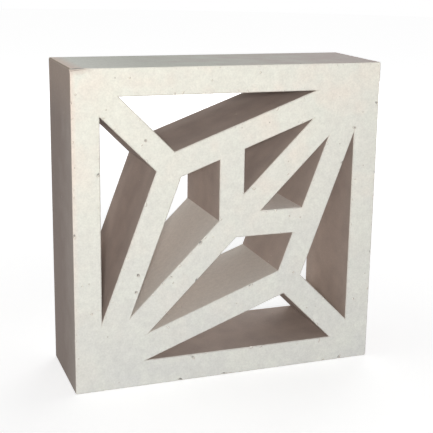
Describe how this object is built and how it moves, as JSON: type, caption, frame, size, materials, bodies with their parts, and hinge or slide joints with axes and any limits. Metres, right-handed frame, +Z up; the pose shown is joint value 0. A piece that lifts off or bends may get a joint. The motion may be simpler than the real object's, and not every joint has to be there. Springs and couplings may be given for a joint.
{
  "type": "decorative screen block",
  "caption": "Square cast concrete screen block, pierced right through by a leaf pattern of straight bars, laid in mortar on its edges to make a wall that passes air and light.",
  "frame": {"origin": "middle of the underside, half way along the face and half way through the depth", "axes": "+Z up, +Y from the front face to the back face, +X to the right as the front face is looked at"},
  "size_m": [0.295, 0.095, 0.295],
  "materials": {
    "cement": "off-white fine-sand cement, cast smooth, matt, with small air holes and faint cream and grey clouding"
  },
  "bodies": {
    "root": {"screen_block": "cement"}
  },
  "joints": []
}
